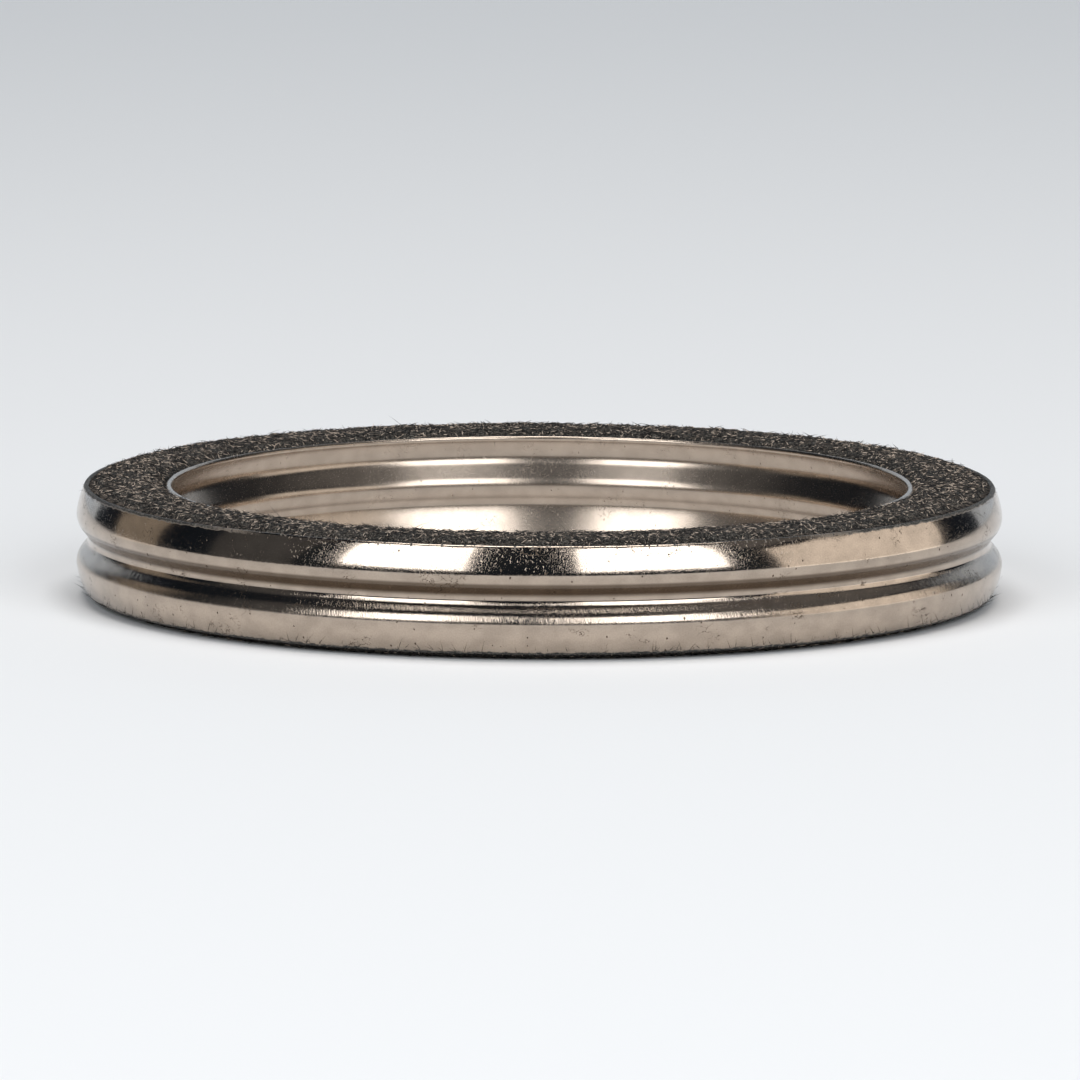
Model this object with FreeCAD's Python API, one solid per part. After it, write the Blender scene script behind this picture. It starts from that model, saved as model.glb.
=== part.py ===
import FreeCAD, Part
import math
import os

# Muffler gasket: a ring of pressed fibre held between two thin rolled steel bands.
# Millimetres. +Z runs up the ring's axis, and the origin is the middle of the lower fibre face.

# The whole ring
outer_diameter = 41.5  # over the two beads of the outer band
ring_width = 4.4  # across the ring, from those beads in to the rib round the bore

# Sizes that both steel bands share
sheet_thickness = 0.25
band_height = 4.8  # from rounded edge to rounded edge
flank_angle = 8.0  # degrees round a bead or hollow where the flank to the band's edge takes over

# Outer band, measured on its outside face
outer_bead_spacing = 2.16  # between the crests of the two beads
outer_bead_radius = 0.85
outer_groove_depth = 0.5
outer_groove_radius = 0.48
outer_upper_edge_lean = 0.33  # how far the upper edge stands in from the crest of the bead
outer_lower_edge_lean = 0.4

# Inner band, measured on its bore face. Heights are from half way up the band.
inner_rib_height = 0.1
inner_rib_radius = 0.8
inner_upper_hollow_height = 1.42
inner_upper_hollow_depth = 0.5  # behind the crest of the rib
inner_upper_hollow_radius = 0.75
inner_upper_edge_lean = 0.35  # how far the upper edge stands in from the hollow's deepest line
inner_lower_hollow_height = -0.78
inner_lower_hollow_depth = 0.33
inner_lower_hollow_radius = 0.5
inner_lower_edge_lean = 0.42

# Fibre ring
fibre_proud_below = 0.28  # how far the fibre stands out past the bands' lower edges
fibre_proud_above = 0.22
fibre_shoulder = 0.9  # width of the rounded shoulder beside each steel edge
lip_reveal = 0.1  # width of inner band left bare outside each rounded lip

mid_height = fibre_proud_below + band_height / 2
overall_height = fibre_proud_below + band_height + fibre_proud_above


class Bend:
    # One rolled curve of a band's section. A bend that bulges 1 curves away from the axis, and
    # one that bulges -1 curves towards it. It runs between two tilts of the face from upright.
    def __init__(self, centre_radius, height, radius, bulge):
        self.centre = FreeCAD.Vector(centre_radius, 0, mid_height + height)
        self.radius = radius
        self.bulge = bulge
        self.low_tilt = 0.0
        self.high_tilt = 0.0


def outward(tilt):
    # Unit vector across the sheet, away from the axis.
    return FreeCAD.Vector(math.cos(tilt), 0, math.sin(tilt))


def on_bend(bend, tilt, depth):
    # Point at a tilt on the bend, a depth towards the axis from the face it is measured on.
    return bend.centre + outward(tilt) * (bend.bulge * bend.radius - depth)


def shared_tilt(lower, upper):
    # Tilt of the straight sheet that touches both bends, or of their nearest points to each
    # other where they leave no room for a straight.
    step = upper.centre - lower.centre
    reach = lower.bulge * lower.radius - upper.bulge * upper.radius
    return math.atan2(step.z, step.x) - math.acos(max(-1.0, min(1.0, reach / step.Length)))


def flank(last_bend, edge_lean, side, middle_depth):
    # The gentle curve from a bead to the band's edge, above the bead where side is 1 and below
    # it where side is -1. Half way through the sheet it ends at the middle of the rounded edge.
    start = math.radians(flank_angle)
    leaving = on_bend(last_bend, side * start, middle_depth) - FreeCAD.Vector(0, 0, mid_height)
    edge_radius = last_bend.centre.x + last_bend.radius - middle_depth - edge_lean
    edge_height = side * (band_height - sheet_thickness) / 2
    inward = leaving.x - edge_radius
    rise = abs(edge_height - leaving.z)
    chord_tilt = math.atan2(inward, rise)
    radius = math.hypot(inward, rise) / (2 * math.sin(chord_tilt - start)) + middle_depth
    end = 2 * chord_tilt - start
    centre = last_bend.centre + outward(side * start) * (last_bend.radius - radius)
    bend = Bend(centre.x, centre.z - mid_height, radius, 1)
    bend.low_tilt = start if side > 0 else -end
    bend.high_tilt = end if side > 0 else -start
    return bend


def bead(crest_radius, height, radius):
    return Bend(crest_radius - radius, height, radius, 1)


def groove(floor_radius, height, radius):
    return Bend(floor_radius + radius, height, radius, -1)


def rolled_band(lower, middle, upper, lower_edge_lean, upper_edge_lean, middle_depth):
    # The five bends of a band from bottom to top: flank, bead, groove, bead and flank.
    bottom = flank(lower, lower_edge_lean, -1, middle_depth)
    top = flank(upper, upper_edge_lean, 1, middle_depth)
    lower.low_tilt = bottom.high_tilt
    lower.high_tilt = shared_tilt(lower, middle)
    middle.low_tilt = lower.high_tilt
    middle.high_tilt = shared_tilt(middle, upper)
    upper.low_tilt = middle.high_tilt
    upper.high_tilt = top.low_tilt
    return [bottom, lower, middle, upper, top]


def face_curve(bends, depth):
    # The band's face at a depth, as arcs and the straight lengths between them, bottom to top.
    edges = []
    last = None
    for bend in bends:
        start = on_bend(bend, bend.low_tilt, depth)
        middle = on_bend(bend, (bend.low_tilt + bend.high_tilt) / 2, depth)
        end = on_bend(bend, bend.high_tilt, depth)
        if last is not None and (start - last).Length > 1e-6:
            edges.append(Part.LineSegment(last, start).toShape())
        edges.append(Part.Arc(start, middle, end).toShape())
        last = end
    return edges


def rounded_edge(bend, tilt, side, near_depth, far_depth):
    # The half circle across the sheet's thickness at the top or bottom of a band.
    near = on_bend(bend, tilt, near_depth)
    far = on_bend(bend, tilt, far_depth)
    along = FreeCAD.Vector(-math.sin(tilt), 0, math.cos(tilt)) * side
    crown = (near + far) / 2 + along * (sheet_thickness / 2)
    return Part.Arc(near, crown, far).toShape()


def spin(edges):
    # Closes the edges into a section in the XZ plane and turns it about the axis.
    section = Part.Face(Part.Wire(Part.__sortEdges__(edges)))
    return section.revolve(FreeCAD.Vector(0, 0, 0), FreeCAD.Vector(0, 0, 1), 360)


def band_solid(bends, fibre_depth):
    edges = face_curve(bends, 0) + face_curve(bends, fibre_depth)
    edges.append(rounded_edge(bends[0], bends[0].low_tilt, -1, 0, fibre_depth))
    edges.append(rounded_edge(bends[-1], bends[-1].high_tilt, 1, 0, fibre_depth))
    return spin(edges)


def bare_lip(bends):
    # The same bends, cut short at both ends where the fibre leaves the lip bare.
    trimmed = []
    for bend in bends:
        copy = Bend(bend.centre.x, bend.centre.z - mid_height, bend.radius, bend.bulge)
        copy.low_tilt = bend.low_tilt
        copy.high_tilt = bend.high_tilt
        trimmed.append(copy)
    bottom = trimmed[0]
    top = trimmed[-1]
    bottom_width = lip_reveal / math.sin(-bottom.low_tilt)
    top_width = lip_reveal / math.sin(top.high_tilt)
    bottom.low_tilt += bottom_width / (bottom.radius + sheet_thickness)
    top.high_tilt -= top_width / (top.radius + sheet_thickness)
    return trimmed


def shoulder(edge_point, land_radius, face_height):
    # The fibre's rounded corner, from the steel edge to the flat face, level where it meets it.
    width = edge_point.x - land_radius
    drop = abs(face_height - edge_point.z)
    radius = (width * width + drop * drop) / (2 * drop)
    down = 1 if face_height < edge_point.z else -1
    half = math.asin(width / radius) / 2
    middle = FreeCAD.Vector(land_radius + radius * math.sin(half), 0,
                            face_height + down * radius * (1 - math.cos(half)))
    land = FreeCAD.Vector(land_radius, 0, face_height)
    return Part.Arc(edge_point, middle, land).toShape()


def fibre_solid(outer_bends, inner_bends):
    # The fibre fills the space between the bands and bears on both of them.
    lip_bends = bare_lip(inner_bends)
    edges = face_curve(outer_bends, sheet_thickness) + face_curve(lip_bends, -sheet_thickness)
    for side, face_height in ((-1, 0.0), (1, overall_height)):
        end = 0 if side < 0 else -1
        outer_tilt = outer_bends[end].low_tilt if side < 0 else outer_bends[end].high_tilt
        inner_tilt = lip_bends[end].low_tilt if side < 0 else lip_bends[end].high_tilt
        outer_point = on_bend(outer_bends[end], outer_tilt, sheet_thickness)
        inner_point = on_bend(lip_bends[end], inner_tilt, -sheet_thickness)
        outer_land = outer_point.x - fibre_shoulder
        inner_land = inner_point.x + fibre_shoulder
        edges.append(shoulder(outer_point, outer_land, face_height))
        edges.append(shoulder(inner_point, inner_land, face_height))
        edges.append(Part.LineSegment(FreeCAD.Vector(inner_land, 0, face_height),
                                      FreeCAD.Vector(outer_land, 0, face_height)).toShape())
    return spin(edges)


outer_radius = outer_diameter / 2
outer_bends = rolled_band(
    bead(outer_radius, -outer_bead_spacing / 2, outer_bead_radius),
    groove(outer_radius - outer_groove_depth, 0, outer_groove_radius),
    bead(outer_radius, outer_bead_spacing / 2, outer_bead_radius),
    outer_lower_edge_lean, outer_upper_edge_lean, sheet_thickness / 2)

# Seen from the axis, the inner band's beads are the hollows of the bore and its groove the rib.
bore_radius = outer_radius - ring_width
inner_bends = rolled_band(
    bead(bore_radius + inner_lower_hollow_depth, inner_lower_hollow_height,
         inner_lower_hollow_radius),
    groove(bore_radius, inner_rib_height, inner_rib_radius),
    bead(bore_radius + inner_upper_hollow_depth, inner_upper_hollow_height,
         inner_upper_hollow_radius),
    inner_lower_edge_lean, inner_upper_edge_lean, -sheet_thickness / 2)

solids = {
    "outer_band": band_solid(outer_bends, sheet_thickness),
    "inner_band": band_solid(inner_bends, -sheet_thickness),
    "fibre_ring": fibre_solid(outer_bends, inner_bends),
}

os.makedirs("parts", exist_ok=True)
for name, shape in solids.items():
    shape.exportStep("parts/" + name + ".step")
    print(name, "valid", shape.isValid(), "volume", round(shape.Volume, 3))
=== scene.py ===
import bpy, math, random
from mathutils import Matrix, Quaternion, Vector, noise


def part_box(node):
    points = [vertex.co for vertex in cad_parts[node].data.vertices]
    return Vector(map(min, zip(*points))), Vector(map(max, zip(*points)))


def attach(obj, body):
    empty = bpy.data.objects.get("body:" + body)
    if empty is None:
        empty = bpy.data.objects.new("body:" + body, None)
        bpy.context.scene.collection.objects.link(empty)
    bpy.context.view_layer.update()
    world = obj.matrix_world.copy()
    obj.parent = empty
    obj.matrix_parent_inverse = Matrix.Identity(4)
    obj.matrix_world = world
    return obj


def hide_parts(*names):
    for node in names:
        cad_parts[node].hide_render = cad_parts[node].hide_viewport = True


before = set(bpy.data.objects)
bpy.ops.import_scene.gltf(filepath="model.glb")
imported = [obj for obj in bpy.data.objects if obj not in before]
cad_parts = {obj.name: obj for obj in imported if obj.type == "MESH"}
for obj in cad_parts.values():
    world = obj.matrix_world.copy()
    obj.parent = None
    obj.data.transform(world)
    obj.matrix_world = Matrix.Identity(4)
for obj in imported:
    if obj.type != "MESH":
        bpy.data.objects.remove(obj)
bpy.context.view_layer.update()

# Muffler gasket: two rolled steel bands with a ring of fuzzy pressed fibre between them.
# Blender works in metres. Sections are drawn in millimetres, as (radius, height) from the
# axis and from half way up the bands, and become metres when they are turned.
mm = 0.001


def boxMm(node):         # lowest and highest corner of a CAD node, in millimetres
    low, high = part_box(node)
    return low / mm, high / mm


bandLow, bandHigh = boxMm("outer_band")
fibreLow, fibreHigh = boxMm("fibre_ring")
ring = dict(
    outside=bandHigh.x,                       # over the two beads
    middle=(bandLow.z + bandHigh.z) / 2,      # half way up the bands
    halfBand=(bandHigh.z - bandLow.z) / 2,
    fibreTop=fibreHigh.z,
    fibreFoot=fibreLow.z,
    sheet=0.25,
    width=4.4,                                # beads to the rib in the bore
    flankStart=8.0,                           # degrees round a bead where its flank begins
    sideGap=0.01,                             # fibre to steel, so that their faces never mix
    hiddenStep=2.5,                           # how much coarser a face is where the fibre hides it
)


# Rolled sections. A bend bulges away from the axis (1) or towards it (-1), and its tilt is
# how far the outward side of the sheet leans up from upright.
class Bend:
    def __init__(self, crest, height, radius, bulge=1):
        self.at = Vector((crest - bulge * radius, height))
        self.reach = bulge * radius
        self.low = self.high = 0.0

    def point(self, tilt, depth):             # depth is towards the axis from the drawn face
        return self.at + Vector((math.cos(tilt), math.sin(tilt))) * (self.reach - depth)


def straightBetween(lower, upper):            # tilt of the sheet that touches both bends
    step = upper.at - lower.at
    return math.atan2(step.y, step.x) - math.acos((lower.reach - upper.reach) / step.length)


def flankOf(bead, lean, side, halfDepth):     # from a bead to the band's edge, which leans in
    start = math.radians(ring["flankStart"])
    leaving = bead.point(side * start, halfDepth)
    inward = leaving.x - (bead.at.x + bead.reach - halfDepth - lean)
    rise = abs(side * (ring["halfBand"] - ring["sheet"] / 2) - leaving.y)
    chord = math.atan2(inward, rise)
    flank = Bend(0, 0, math.hypot(inward, rise) / (2 * math.sin(chord - start)) + halfDepth)
    aside = Vector((math.cos(start), side * math.sin(start)))
    flank.at = bead.at + aside * (bead.reach - flank.reach)
    end = 2 * chord - start
    flank.low, flank.high = (start, end) if side > 0 else (-end, -start)
    return flank


def rolledBends(lower, middle, upper, leans, halfDepth):   # five bends, from the bottom up
    bottom = flankOf(lower, leans[0], -1, halfDepth)
    top = flankOf(upper, leans[1], 1, halfDepth)
    lower.low, lower.high = bottom.high, straightBetween(lower, middle)
    middle.low, middle.high = lower.high, straightBetween(middle, upper)
    upper.low, upper.high = middle.high, top.low
    return [bottom, lower, middle, upper, top]


def faceLine(bends, depth, step, longest=1.5, least=1e-4):     # points up one face of the sheet
    line = []
    for bend in bends:
        length = abs(bend.high - bend.low) * abs(bend.reach - depth)
        count = max(2, math.ceil(length / step))
        for k in range(count + 1):
            spot = bend.point(bend.low + (bend.high - bend.low) * k / count, depth)
            while line and (spot - line[-1]).length > step * longest:      # along a straight
                line.append(line[-1] + (spot - line[-1]).normalized() * step)
            if not line or (spot - line[-1]).length > least:
                line.append(spot)
    return line


def edgeRound(bend, tilt, side, depths, count=9):   # half circle over the sheet's cut edge
    near, far = bend.point(tilt, depths[0]), bend.point(tilt, depths[1])
    centre, arm = (near + far) / 2, (near - far) / 2
    along = Vector((-math.sin(tilt), math.cos(tilt))) * side * arm.length
    turns = [math.pi * k / count for k in range(1, count)]
    return [centre + arm * math.cos(a) + along * math.sin(a) for a in turns]


def bandLoop(bends, fibreDepth, step):        # the whole section, up the shown face and down
    up = faceLine(bends, 0, step)
    over = edgeRound(bends[-1], bends[-1].high, 1, (0, fibreDepth))
    down = faceLine(bends, fibreDepth, step * ring["hiddenStep"])[::-1]
    under = edgeRound(bends[0], bends[0].low, -1, (fibreDepth, 0))
    return up + over + down + under


def turnedMesh(name, loop, segments, shift):
    # Turns a closed section about the axis. shift(spot, turn, k) gives the (radial, height)
    # millimetres by which a point departs from perfectly round.
    corners, faces = [], []
    for j in range(segments):
        turn = 2 * math.pi * j / segments
        for k, spot in enumerate(loop):
            radius, height = spot + shift(spot, turn, k)
            corners.append((radius * math.cos(turn) * mm, radius * math.sin(turn) * mm,
                            (height + ring["middle"]) * mm))
    size = len(loop)
    for j in range(segments):
        ahead = (j + 1) % segments
        for k in range(size):
            after = (k + 1) % size
            faces.append((j * size + k, ahead * size + k, ahead * size + after, j * size + after))
    return addPiece(name, corners, faces)


ringPieces = bpy.data.collections.new("ring pieces")     # what the nearest lights shine on


def addPiece(name, corners, faces):
    mesh = bpy.data.meshes.new(name)
    mesh.from_pydata(corners, [], faces)
    mesh.shade_smooth()
    mesh.update()
    piece = bpy.data.objects.new(name, mesh)
    bpy.context.scene.collection.objects.link(piece)
    ringPieces.objects.link(piece)
    return piece


def ripple(spot, turn, scale, seed=0.0):      # smooth noise round the ring, -1 to 1
    radius, height = spot
    place = Vector((radius * math.cos(turn), radius * math.sin(turn), height + seed))
    return noise.noise(place / scale)


# Shader maths: a wire is an output socket that can be used in sums.
class Wire:
    def __init__(self, finish, socket):
        self.finish, self.socket = finish, socket

    def math(self, operation, other=0.0):
        return self.finish.math(operation, self, other)

    def __add__(self, other):
        return self.math("ADD", other)

    def __sub__(self, other):
        return self.math("SUBTRACT", other)

    def __rsub__(self, other):
        return self.finish.math("SUBTRACT", other, self)

    def __mul__(self, other):
        return self.math("MULTIPLY", other)

    def __truediv__(self, other):
        return self.math("DIVIDE", other)

    def __pow__(self, other):
        return self.math("POWER", other)

    __radd__, __rmul__ = __add__, __mul__

    def reach(self, start, end, low=0.0, high=1.0):   # smooth step from start to end
        spans = {"Value": self, "From Min": start, "From Max": end, "To Min": low, "To Max": high}
        return self.finish.add("MapRange", dict(interpolation_type="SMOOTHSTEP"), spans)["Result"]


class Finish:
    def __init__(self, name):
        self.material = bpy.data.materials.new(name)
        self.material.use_nodes = True
        self.tree = self.material.node_tree
        self.tree.nodes.clear()

    def add(self, kind, settings=None, sockets=None):
        node = self.tree.nodes.new("ShaderNode" + kind)
        for key, value in (settings or {}).items():
            setattr(node, key, value)
        for key, value in (sockets or {}).items():
            if isinstance(value, Wire):
                self.tree.links.new(value.socket, node.inputs[key])
            else:
                node.inputs[key].default_value = value
        return {out.name: Wire(self, out) for out in node.outputs if out.enabled}

    def math(self, operation, first, second):
        return self.add("Math", dict(operation=operation), {0: first, 1: second})["Value"]

    def blend(self, amount, first, second):           # colours, by a mask
        return self.add("Mix", dict(data_type="RGBA"), {0: amount, 6: first, 7: second})["Result"]

    def relief(self, height, depth):                  # a bump, with its depth in millimetres
        sockets = {"Height": height, "Distance": depth * mm, "Strength": 1.0}
        return self.add("Bump", None, sockets)["Normal"]

    def surface(self, **sockets):
        names = {key.replace("_", " "): value for key, value in sockets.items()}
        shader = self.add("BsdfPrincipled", None, names)["BSDF"]
        self.add("OutputMaterial", None, {"Surface": shader})
        return self.material


# Steel bands
print("bands")
fibreTint = dict(
    mat=(0.006, 0.0055, 0.005),
    strand=(0.16, 0.145, 0.125),
    strokes=((22, 6, 13), (6, 22, 13), (14, 9, 30), (9, 15, 26)),     # per mm along X, Y and Z
    levels=(0.6, 0.72),                       # of the noise, between which a stroke fades in
)
bandSteel = dict(
    tint=(0.46, 0.38, 0.31),
    pitTint=(0.07, 0.047, 0.03),
    shades=dict(outer_band_steel=(0.82, 1.13), inner_band_steel=(0.8, 1.03)),     # of the tint
    roughness=dict(outer_band_steel=0.09, inner_band_steel=0.235),
    scratchDepth=dict(outer_band_steel=0.0038, inner_band_steel=0.0003),          # mm
    scuffed=dict(outer_band_steel=1.0, inner_band_steel=0.3),
    marked=dict(outer_band_steel=0.85, inner_band_steel=0.25),
    # noise: cells per mm round and up, slant, seed, detail, and levels between which it fades in
    grains=dict(
        scratches=(20, 4.6, 3.5, 3, 2, (0.65, 0.76)),
        slantScratches=(17, 4, -9, 8, 2, (0.67, 0.78)),
        patches=(0.5, 0.7, 0, 5, 2, (0.42, 0.6)),
        grit=(18, 18, 0, 2, 3, (0.5, 0.75)),
        pitEdges=(9, 7, 0, 41, 2, None),
        curls=(2.6, 3.4, 0, 12, 3, None),
        stained=(0.5, 0.7, 0, 21, 2, (0.57, 0.63)),
        broken=(5, 3, 0, 15, 2, (0.36, 0.44)),
        ragged=(3.5, 3.5, 0, 17, 3, None),
        streaks=(24, 2.5, 7, 23, 2, None),
        tone=(0.9, 1.2, 0, 1, 2, (0.3, 0.7)),
        fineTone=(15, 15, 0, 31, 2, (0.3, 0.7)),
    ),
    scattered=0.15,                           # share of the scratches left between patches
    pits=dict(cells=(2.6, 2.0), size=0.15, rarity=9, least=0.02, ragged=0.16),
    stainWidth=0.011,
    fineShare=0.4,                            # of the tone
    groove=(0.06, 0.24, 0.66, 0.8),           # heights under the upper bead between which the groove is painted darker as shade, and made duller, mm
    drawn=(-1.14, -1.02, -0.2, -0.08),        # and between which the rolls left fine streaks
    rim=(2.24, 2.32),                         # heights over which fibre dust darkens the edge
    raggedRim=0.2,
    cleanRim=(-0.62, 0.58),                   # radians from the front, rubbed bright
    cleanFade=0.2,
    relief=dict(grit=0.25, streaks=2.4),      # heights beside the scratches' 1
    # scuffs darken the colour as wear; the groove's darkening is painted shade
    darkens=dict(scuffs=0.1, shadedGroove=0.75),
    # what each layer adds to the roughness
    dulls=dict(scuffs=0.1, grit=0.05, marks=0.4, shadedGroove=0.1, drawn=0.05, dust=0.5),
    wave=(3.2, 0.006),                        # size and height of the sheet's waviness, mm
    edgeWave=(0.7, 0.022),                    # of its rolled edges
    edgeReach=0.3, edgeLean=0.4,              # how far in that goes, and its share sideways
)


def fibreColour(f, place):
    # Short pale strokes at every angle over a near black mat. place is in metres.
    strokes = 0.0
    for stretch in fibreTint["strokes"]:
        spread = f.add("VectorMath", dict(operation="MULTIPLY"),
                       {0: place, 1: [v / mm for v in stretch]})["Vector"]
        noiseMap = f.add("TexNoise", None, {"Vector": spread, "Scale": 1.0, "Detail": 1.0})["Fac"]
        strokes = noiseMap.reach(*fibreTint["levels"]) + strokes
    strands = strokes.math("MINIMUM", 1.0)
    return f.blend(strands, (*fibreTint["mat"], 1), (*fibreTint["strand"], 1)), strokes


def steelFinish(name):
    f = Finish(name)
    where = f.add("TexCoord")["Object"]
    place = f.add("SeparateXYZ", None, {"Vector": where})
    along = f.math("ARCTAN2", place["Y"], place["X"]) * ring["outside"]     # mm round the ring
    up = place["Z"] / mm
    level = up - ring["middle"]

    def spread(x, y, seed):                   # stretched coordinates on the band
        return f.add("CombineXYZ", None, {"X": x, "Y": y, "Z": seed})["Vector"]

    def grain(kind):
        around, upward, slant, seed, detail, levels = bandSteel["grains"][kind]
        x = along * around + up * slant if slant else along * around
        vector = spread(x, up * upward, seed)
        found = f.add("TexNoise", None, {"Vector": vector, "Scale": 1.0, "Detail": detail})["Fac"]
        return found.reach(*levels) if levels else found

    def between(low, lowFull, highFull, high):      # mask over a range of heights
        return level.reach(low, lowFull) * level.reach(highFull, high, 1.0, 0.0)

    # scratches, mostly across the band and a little aslant
    scattered = bandSteel["scattered"]
    strokes = grain("scratches") + grain("slantScratches")
    scuffs = strokes * (scattered + (1 - scattered) * grain("patches")) * bandSteel["scuffed"][name]
    grit = grain("grit")

    # small dark pits, and stains that run in thin curling lines
    pitted = bandSteel["pits"]
    around, upward = pitted["cells"]
    cells = f.add("TexVoronoi", dict(voronoi_dimensions="2D"),
                  {"Vector": spread(along * around, up * upward, 0.0), "Scale": 1.0})
    chance = f.add("SeparateColor", None, {"Color": cells["Color"]})["Red"]
    edge = (grain("pitEdges") - 0.5) * pitted["ragged"]
    widest = pitted["size"] * chance ** pitted["rarity"] - pitted["least"]
    pits = (cells["Distance"] + edge).math("LESS_THAN", widest)
    curls = (grain("curls") - 0.5).math("ABSOLUTE").math("LESS_THAN", bandSteel["stainWidth"])
    marks = pits.math("MAXIMUM", curls * grain("stained")) * bandSteel["marked"][name]

    if name == "inner_band_steel":            # the bore has no fibre dust, no streaks and no painted shade in a groove
        shadedGroove, dust, drawn = 0.0, 0.0, 0.0
    else:
        # a darker, duller band in the groove under the upper bead: painted shade
        shadedGroove, drawn = between(*bandSteel["groove"]), between(*bandSteel["drawn"])
        left, right = bandSteel["cleanRim"]
        fade = bandSteel["cleanFade"]
        turned = f.math("ARCTAN2", place["X"], place["Y"] * -1.0)       # 0 at the front
        rubbed = turned.reach(left - fade, left) * turned.reach(right, right + fade, 1.0, 0.0)
        ragged = (grain("ragged") - 0.5) * bandSteel["raggedRim"]
        dust = (level + ragged).reach(*bandSteel["rim"]) * (1 - rubbed * grain("broken"))
        dust = dust.math("MAXIMUM", (ragged - level).reach(*bandSteel["rim"]))

    fineShare = bandSteel["fineShare"]
    tone = grain("tone") * (1 - fineShare) + grain("fineTone") * fineShare
    tints = [tuple(k * v for v in bandSteel["tint"]) + (1,) for k in bandSteel["shades"][name]]
    pitTint = (*bandSteel["pitTint"], 1)
    darkens, relief = bandSteel["darkens"], bandSteel["relief"]
    # colour darkened by scuffs, which are wear, and by painted shade in the groove
    wearAndShade = scuffs * darkens["scuffs"] + shadedGroove * darkens["shadedGroove"]
    colour = f.blend(wearAndShade, f.blend(tone, *tints), pitTint)
    colour = f.blend(marks, colour, pitTint)
    colour = f.blend(dust, colour, fibreColour(f, where)[0])

    height = grit * relief["grit"] + scuffs - pits + grain("streaks") * drawn * relief["streaks"]
    normal = f.relief(height, bandSteel["scratchDepth"][name])
    rough = bandSteel["roughness"][name]
    layers = dict(scuffs=scuffs, grit=grit, marks=marks, shadedGroove=shadedGroove, drawn=drawn, dust=dust)
    for layer, amount in bandSteel["dulls"].items():
        rough = rough + layers[layer] * amount
    return f.surface(Base_Color=colour, Metallic=1.0 - dust, Roughness=rough, Normal=normal)


def bandShift(spot, turn, k):
    size, height = bandSteel["wave"]
    out = height * ripple(spot, turn, size)
    size, height = bandSteel["edgeWave"]
    reach = bandSteel["edgeReach"]
    nearEdge = max(0.0, abs(spot.y) - ring["halfBand"] + reach) / reach
    lift = height * nearEdge * ripple(spot, turn, size, 40.0)
    return Vector((out + lift * bandSteel["edgeLean"], -abs(lift) if spot.y > 0 else abs(lift)))


outerBand = dict(beadHeight=1.08, beadRadius=0.85, grooveDepth=0.5, grooveRadius=0.48,
                 leans=(0.4, 0.33), step=0.06, segments=540)
outerBends = rolledBends(
    Bend(ring["outside"], -outerBand["beadHeight"], outerBand["beadRadius"]),
    Bend(ring["outside"] - outerBand["grooveDepth"], 0, outerBand["grooveRadius"], -1),
    Bend(ring["outside"], outerBand["beadHeight"], outerBand["beadRadius"]),
    outerBand["leans"], ring["sheet"] / 2)
outerPiece = turnedMesh("outer_band_steel", bandLoop(outerBends, ring["sheet"], outerBand["step"]),
                        outerBand["segments"], bandShift)

innerBand = dict(rib=(0.1, 0.8),              # height and bend radius, seen from the bore
                 upperHollow=(1.42, 0.75, 0.5), lowerHollow=(-0.78, 0.5, 0.33),   # and depth
                 leans=(0.42, 0.35), step=0.065, segments=500)
rib = ring["outside"] - ring["width"]
innerBends = rolledBends(
    Bend(rib + innerBand["lowerHollow"][2], *innerBand["lowerHollow"][:2]),
    Bend(rib, *innerBand["rib"], -1),
    Bend(rib + innerBand["upperHollow"][2], *innerBand["upperHollow"][:2]),
    innerBand["leans"], -ring["sheet"] / 2)
innerPiece = turnedMesh("inner_band_steel", bandLoop(innerBends, -ring["sheet"], innerBand["step"]),
                        innerBand["segments"], bandShift)

for piece, node in ((outerPiece, "outer_band"), (innerPiece, "inner_band")):
    piece.data.materials.append(steelFinish(piece.name))
    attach(piece, "root")
    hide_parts(node)


# Pressed fibre: a crowned body between the bands, and a nap of short hairs over it
print("fibre")
fibre = dict(
    segments=1000,
    shoulder=0.9,                             # width of its rounded corners, mm
    lipReveal=0.1,                            # steel left bare outside each lip of the bore
    lipDrop=(0.11, 0.2),                      # fibre below the upper lip and above the lower one
    topStep=0.085, footStep=0.14, sideStep=0.4,
    strokeHeight=0.012, roughness=0.85, sheen=0.2,
    lumps=((1.3, 0.035), (0.4, 0.045), (0.17, 0.03)),      # size and height, mm
)


def shoulderLine(edge, land, step):           # rounded corner from a steel edge to the flat face
    width, drop = abs(edge.x - land.x), abs(land.y - edge.y)
    radius = (width ** 2 + drop ** 2) / (2 * drop)
    turn = math.asin(width / radius)
    out, up = math.copysign(1, edge.x - land.x), math.copysign(1, land.y - edge.y)
    count = math.ceil(width / step)
    spots = []
    for k in range(count + 1):
        a = turn * (1 - k / count)
        away, fall = radius * math.sin(a), radius * (1 - math.cos(a))
        spots.append(Vector((land.x + out * away, land.y - up * fall)))
    return spots


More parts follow.
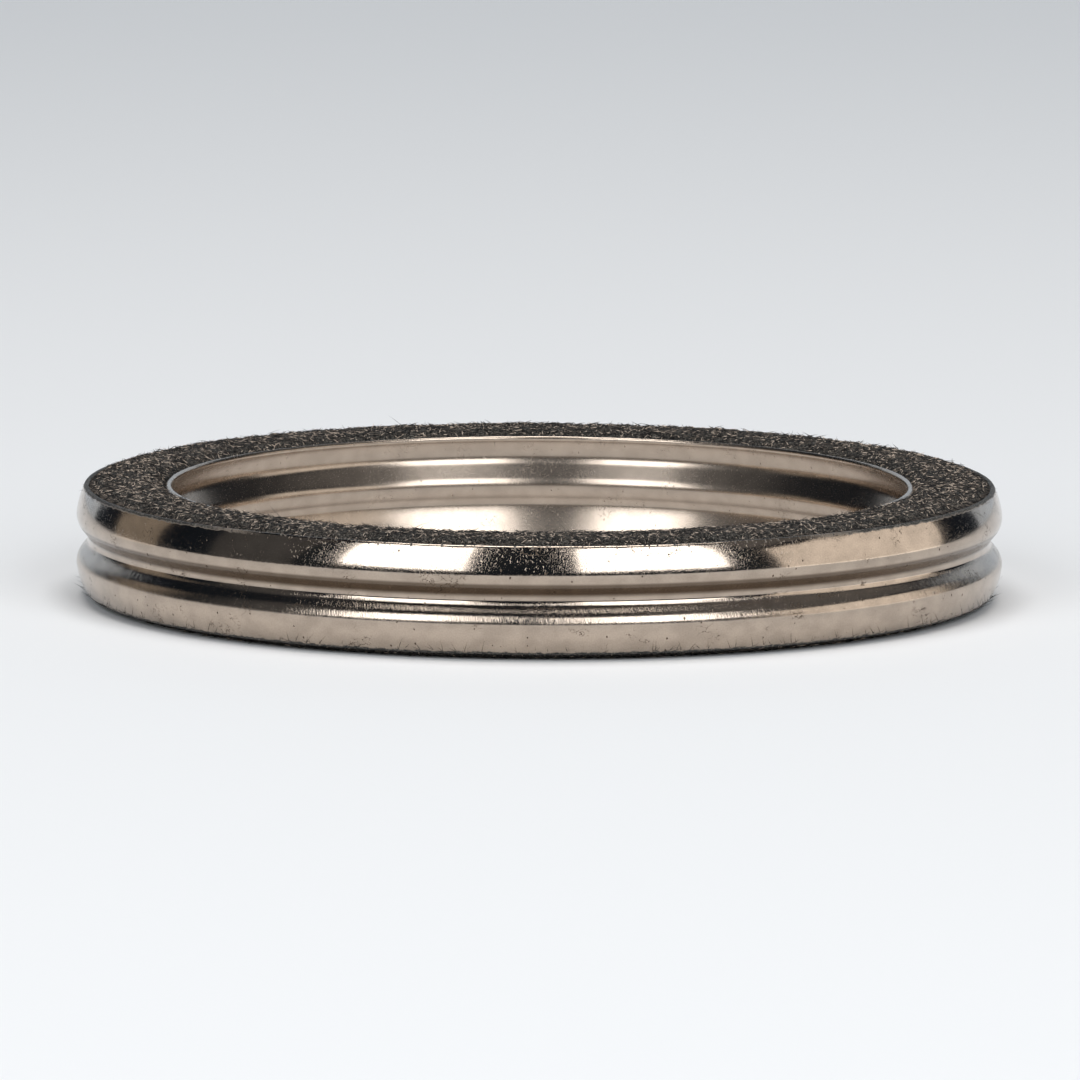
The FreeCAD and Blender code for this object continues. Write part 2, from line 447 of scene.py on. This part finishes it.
def fibreLoop():                              # outer side up, top, inner side down, foot
    gap = ring["sheet"] + ring["sideGap"]
    outerSide = faceLine(outerBends, gap, fibre["sideStep"])
    innerSide = faceLine(innerBends, -gap, fibre["sideStep"])[::-1]
    bare = fibre["lipReveal"]
    innerSide[0] += Vector((bare, -fibre["lipDrop"][0]))
    innerSide[-1] += Vector((bare, fibre["lipDrop"][1]))
    loop, felt = list(outerSide), [0] * len(outerSide)
    for side, ends, step in ((1, (outerSide[-1], innerSide[0]), fibre["topStep"]),
                             (-1, (innerSide[-1], outerSide[0]), fibre["footStep"])):
        level = crown if side > 0 else foot
        out = -1 if side > 0 else 1
        lands = [Vector((ends[0].x + out * fibre["shoulder"], level)),
                 Vector((ends[1].x - out * fibre["shoulder"], level))]
        flat = max(2, math.ceil(abs(lands[1].x - lands[0].x) / step))
        spots = shoulderLine(ends[0], lands[0], step)
        spots += [lands[0].lerp(lands[1], k / flat) for k in range(1, flat)]
        spots += shoulderLine(ends[1], lands[1], step)[::-1]
        loop += spots[1:-1]
        felt += [side] * (len(spots) - 2)
        if side > 0:
            loop += innerSide
            felt += [0] * len(innerSide)
    return loop, felt


crown = ring["fibreTop"] - ring["middle"]
foot = ring["fibreFoot"] - ring["middle"]
feltLoop, feltSides = fibreLoop()


def feltLift(spot, turn):
    return sum(height * ripple(spot, turn, size) for size, height in fibre["lumps"])


def feltShift(spot, turn, k):
    if feltSides[k] > 0:
        return Vector((0, feltLift(spot, turn)))
    if feltSides[k] < 0:
        return Vector((0, abs(feltLift(spot, turn))))
    return Vector((0, 0))


def bodyFinish(name):
    f = Finish(name)
    colour, strokes = fibreColour(f, f.add("TexCoord")["Object"])
    return f.surface(Base_Color=colour, Roughness=fibre["roughness"],
                     Specular_IOR_Level=fibre["sheen"],
                     Normal=f.relief(strokes, fibre["strokeHeight"]))


fibreBody = turnedMesh("fibre_body", feltLoop, fibre["segments"], feltShift)
fibreBody.data.materials.append(bodyFinish("pressed fibre"))
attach(fibreBody, "root")
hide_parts("fibre_ring")

nap = dict(
    footBare=0.4,                             # share of the hairs that the lower face goes without
    scatter=0.05,                             # mm in and out from the mesh's own rings
    lowest=-4, footRise=15,                   # degrees: least rise, and most on the lower face
    curl=0.25, curlFlat=0.4, droop=0.08,      # shares of a hair's length
    footCurl=0.3,
    longFrom=0.6, bits=(2, 4),                # short hairs have two joints, and longer ones four
    roughness=0.55,
    pieces=dict(                              # lengths and radius in mm, steepest rise in degrees
        nap_black=dict(tint=(0.0075, 0.006, 0.0055), count=13500, lengths=(0.2, 0.55), radius=0.02,
                       steepest=17, seed=3),
        nap_grey=dict(tint=(0.13, 0.105, 0.085), count=13000, lengths=(0.12, 0.5), radius=0.015,
                      steepest=19, seed=4),
        nap_pale=dict(tint=(0.68, 0.55, 0.44), count=7500, lengths=(0.08, 0.34), radius=0.018,
                      steepest=26, seed=5),
        long_hairs=dict(tint=(0.06, 0.056, 0.05), count=160, lengths=(0.4, 1.0), radius=0.012,
                        steepest=36, seed=6),
    ),
)


def feltNeighbours():                         # each felt point, with its side and its slope
    size = len(feltLoop)
    spots = []
    for k, side in enumerate(feltSides):
        if side:
            slope = (feltLoop[(k + 1) % size] - feltLoop[k - 1]).normalized()
            spots.append((feltLoop[k], side, slope))
    return spots


napSpots = feltNeighbours()
strand = dict(
    turns=(0.0, 2.0944, 4.1888),              # radians round it to its three corners
    taper=0.5,                                # share of the radius lost towards the tip
    tipLift=0.3, sheen=0.3,                   # the tip's least height, in radii
)


def hair(corners, faces, root, heading, length, radius, curl, bits):
    side = heading.orthogonal().normalized()
    other = heading.cross(side)
    first = len(corners)
    for k in range(bits):
        t = k / bits
        middle = root + heading * (length * t) + curl * (t * t)
        middle.z = max(middle.z, radius)      # nothing reaches under the plane that it rests on
        for a in strand["turns"]:
            arm = side * math.cos(a) + other * math.sin(a)
            corners.append((middle + arm * radius * (1 - strand["taper"] * t)) * mm)
    end = root + heading * length + curl
    end.z = max(end.z, strand["tipLift"] * radius)
    corners.append(end * mm)
    tip = len(corners) - 1
    faces.append((first + 2, first + 1, first))
    for k in range(bits - 1):
        low = first + 3 * k
        for s in range(3):
            n = (s + 1) % 3
            faces.append((low + s, low + n, low + 3 + n, low + 3 + s))
    last = first + 3 * (bits - 1)
    for s in range(3):
        faces.append((last + s, last + (s + 1) % 3, tip))


def addHairs(name, corners, faces, tint, roughness):
    piece = addPiece(name, corners, faces)
    finish = Finish(name)
    piece.data.materials.append(finish.surface(Base_Color=(*tint, 1), Roughness=roughness,
                                               Specular_IOR_Level=strand["sheen"]))
    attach(piece, "root")


def napPiece(name, tint, count, lengths, radius, steepest, seed):
    pick = random.Random(seed)
    corners, faces = [], []
    for _ in range(count):
        spot, side, slope = pick.choice(napSpots)
        if side < 0 and pick.random() < nap["footBare"]:
            continue
        turn = pick.uniform(0, 2 * math.pi)
        length = pick.uniform(*lengths)
        lift = feltLift(spot, turn)
        height = spot.y + (lift if side > 0 else abs(lift)) + ring["middle"]
        reach = spot.x + pick.uniform(-nap["scatter"], nap["scatter"])
        outward = Vector((math.cos(turn), math.sin(turn), 0))
        root = outward * reach + Vector((0, 0, height))
        across = outward * slope.x + Vector((0, 0, slope.y))          # lies in the felt's surface
        around = Vector((-outward.y, outward.x, 0))
        away = around.cross(across) * (1 if around.cross(across).z * side > 0 else -1)
        aim = pick.uniform(0, 2 * math.pi)
        rises = (nap["lowest"], steepest) if side > 0 else (0, nap["footRise"])
        rise = math.radians(pick.uniform(*rises))
        lying = across * math.cos(aim) + around * math.sin(aim)
        heading = (lying * math.cos(rise) + away * math.sin(rise)).normalized()
        curl = Vector([pick.gauss(0, nap["curl"] * length) for _ in range(3)])
        curl.z = curl.z * nap["curlFlat"] - nap["droop"] * length * side
        if side < 0:                          # pressed flat where it rests
            curl.z = abs(curl.z) * nap["footCurl"]
        bits = nap["bits"][0 if length < nap["longFrom"] else 1]
        hair(corners, faces, root, heading, length, radius, curl, bits)
    addHairs(name, corners, faces, tint, nap["roughness"])


for name, settings in nap["pieces"].items():
    napPiece(name, **settings)

fringe = dict(
    radius=0.017, bits=3, roughness=0.6,
    kept=0.3,                                 # share left where the rim is rubbed
    start=0.06,                               # above or below the steel's edge, mm
    # lengths and roots' distance in, mm; the felt's slope there; how a hair leans, and how it bends
    rim=dict(lengths=(0.15, 0.4), inset=(0.02, 0.35), slope=0.45, rise=(-0.05, 0.12), spread=0.8,
             sway=0.15, curl=-0.3),
    foot=dict(lengths=(0.5, 0.9), inset=(0.14, 0.22), slope=0.6, rise=(-0.03, 0.05), spread=0.4,
              sway=0.25, curl=0.42),
    pieces=dict(                              # the nap whose tint it has, hairs, seed, edge
        fringe_dark=("nap_black", 4600, 7, "rim"),
        fringe_grey=("nap_grey", 3400, 8, "rim"),
        foot_hairs=("nap_black", 420, 9, "foot"),
    ),
)


def fringePiece(name, like, count, seed, where):     # hairs that stick out past an outer edge
    pick = random.Random(seed)
    corners, faces = [], []
    own = fringe[where]
    side = 1 if where == "rim" else -1
    bend = outerBends[-1 if side > 0 else 0]
    edge = bend.point(bend.high if side > 0 else bend.low, ring["sheet"])
    left, right = bandSteel["cleanRim"]
    for _ in range(count):
        front = pick.uniform(-math.pi, math.pi)
        if side > 0 and left < front < right and pick.random() > fringe["kept"]:
            continue
        turn = front - math.pi / 2
        inset = pick.uniform(*own["inset"])
        length = pick.uniform(*own["lengths"])
        reach = edge.x - inset
        height = edge.y + side * (fringe["start"] + inset * own["slope"]) + ring["middle"]
        root = Vector((reach * math.cos(turn), reach * math.sin(turn), height))
        aim = turn + pick.gauss(0, own["spread"])
        heading = Vector((math.cos(aim), math.sin(aim), pick.uniform(*own["rise"]))).normalized()
        sway = [pick.gauss(0, own["sway"]) for _ in range(2)]
        curl = Vector((*sway, own["curl"])) * length
        hair(corners, faces, root, heading, length, fringe["radius"], curl, fringe["bits"])
    addHairs(name, corners, faces, nap["pieces"][like]["tint"], fringe["roughness"])


for name, settings in fringe["pieces"].items():
    fringePiece(name, *settings)


# Floor, lights and camera
print("studio")
studio = dict(
    floorReach=1.2, floorTint=(0.86, 0.86, 0.86), floorRoughness=0.8,
    boxes=dict(                               # azimuths, elevations, radiance, colour, metres away
        keyLeft=((-50, -18), (11, 44.5), 4.6, (0.94, 0.97, 1), 0.5),
        keyRight=((10, 47), (11, 44.5), 4.6, (0.94, 0.97, 1), 0.5),
        behind=((139, 217), (0, 30), 0.7, (0.8, 0.9, 1), 0.5),
        wallRight=((60, 125), (34, 72), 0.14, (1, 0.98, 0.95), 0.5),
        cardRight=((55, 106), (0, 26), 1.2, (1, 0.95, 0.88), 0.075),
        cardLeft=((-88, -62), (0, 50), 0.08, (1, 0.99, 0.96), 0.5),
        farLeft=((-110, -92), (1, 22), 0.32, (1, 0.88, 0.72), 0.055),
        overhead=((160, 200), (74, 106), 4.85, (1, 1, 1), 0.5),
    ),
    upright=("keyLeft", "keyRight"),          # these stand, and the others face the ring
    offFloor=("cardRight", "farLeft"),        # and these are too near to light the floor evenly
    surround=(0.011, 0.016, 0.024),
)

half = studio["floorReach"]
floor = bpy.data.objects.new("floor", bpy.data.meshes.new("floor"))
floor.data.from_pydata([(-half, -half, 0), (half, -half, 0), (half, half, 0), (-half, half, 0)],
                       [], [(0, 1, 2, 3)])
bpy.context.scene.collection.objects.link(floor)
floorFinish = Finish("pale floor")
floor.data.materials.append(floorFinish.surface(Base_Color=(*studio["floorTint"], 1),
                                                Roughness=studio["floorRoughness"]))


def spanOf(angles, distance):                 # metres that the angles take up so far away
    return 2 * distance * math.tan(math.radians(angles[1] - angles[0]) / 2)


def softbox(name, azimuths, elevations, radiance, colour, distance):
    # A flat light that fills these angles as seen from the ring. Azimuth 0 is the camera's side.
    middle = math.radians(sum(azimuths) / 2)
    high = math.radians(sum(elevations) / 2)
    data = bpy.data.lights.new(name, "AREA")
    data.shape = "RECTANGLE"
    data.size = spanOf(azimuths, distance)
    data.size_y = spanOf(elevations, distance)
    across, ahead = math.sin(middle), -math.cos(middle)
    away = Vector((across * math.cos(high), ahead * math.cos(high), math.sin(high)))
    facing, place = away, away * distance
    if name in studio["upright"]:
        low, top = [distance * math.tan(math.radians(angle)) for angle in elevations]
        data.size_y = top - low
        facing = Vector((across, ahead, 0))
        place = facing * distance + Vector((0, 0, (low + top) / 2))
    data.energy = radiance * math.pi * data.size * data.size_y
    data.color = colour
    light = bpy.data.objects.new(name, data)
    light.location = place
    light.rotation_mode = "QUATERNION"
    light.rotation_quaternion = facing.to_track_quat("Z", "Y")
    bpy.context.scene.collection.objects.link(light)
    if name in studio["offFloor"]:
        light.light_linking.receiver_collection = ringPieces


for name, box in studio["boxes"].items():
    softbox(name, *box)
world = bpy.data.worlds.new("studio")
bpy.context.scene.world = world
world.use_nodes = True
world.node_tree.nodes["Background"].inputs["Color"].default_value = (*studio["surround"], 1)

view = dict(
    distance=0.6, elevation=7.85, roll=0.25,      # metres and degrees
    scale=22.29,                              # pixels per mm at the ring's middle
    middleX=539.4, middleY=536.6, frame=1080,     # where that middle falls in the picture
    sensor=36.0, clip=(0.05, 10),
)


def placeCamera():
    data = bpy.data.cameras.new("camera")
    data.sensor_width = view["sensor"]
    data.lens = view["scale"] * view["distance"] / mm * data.sensor_width / view["frame"]
    data.clip_start, data.clip_end = view["clip"]
    camera = bpy.data.objects.new("camera", data)
    rise = math.radians(view["elevation"])
    back = Vector((0, -math.cos(rise), math.sin(rise)))
    camera.location = Vector((0, 0, ring["middle"] * mm)) + back * view["distance"]
    camera.rotation_mode = "QUATERNION"
    turn = back.to_track_quat("Z", "Y")
    camera.rotation_quaternion = turn @ Quaternion((0, 0, 1), math.radians(view["roll"]))
    data.shift_x = (view["frame"] / 2 - view["middleX"]) / view["frame"]
    data.shift_y = (view["middleY"] - view["frame"] / 2) / view["frame"]
    bpy.context.scene.collection.objects.link(camera)
    bpy.context.scene.camera = camera


placeCamera()
bpy.context.scene.view_settings.view_transform = "Standard"
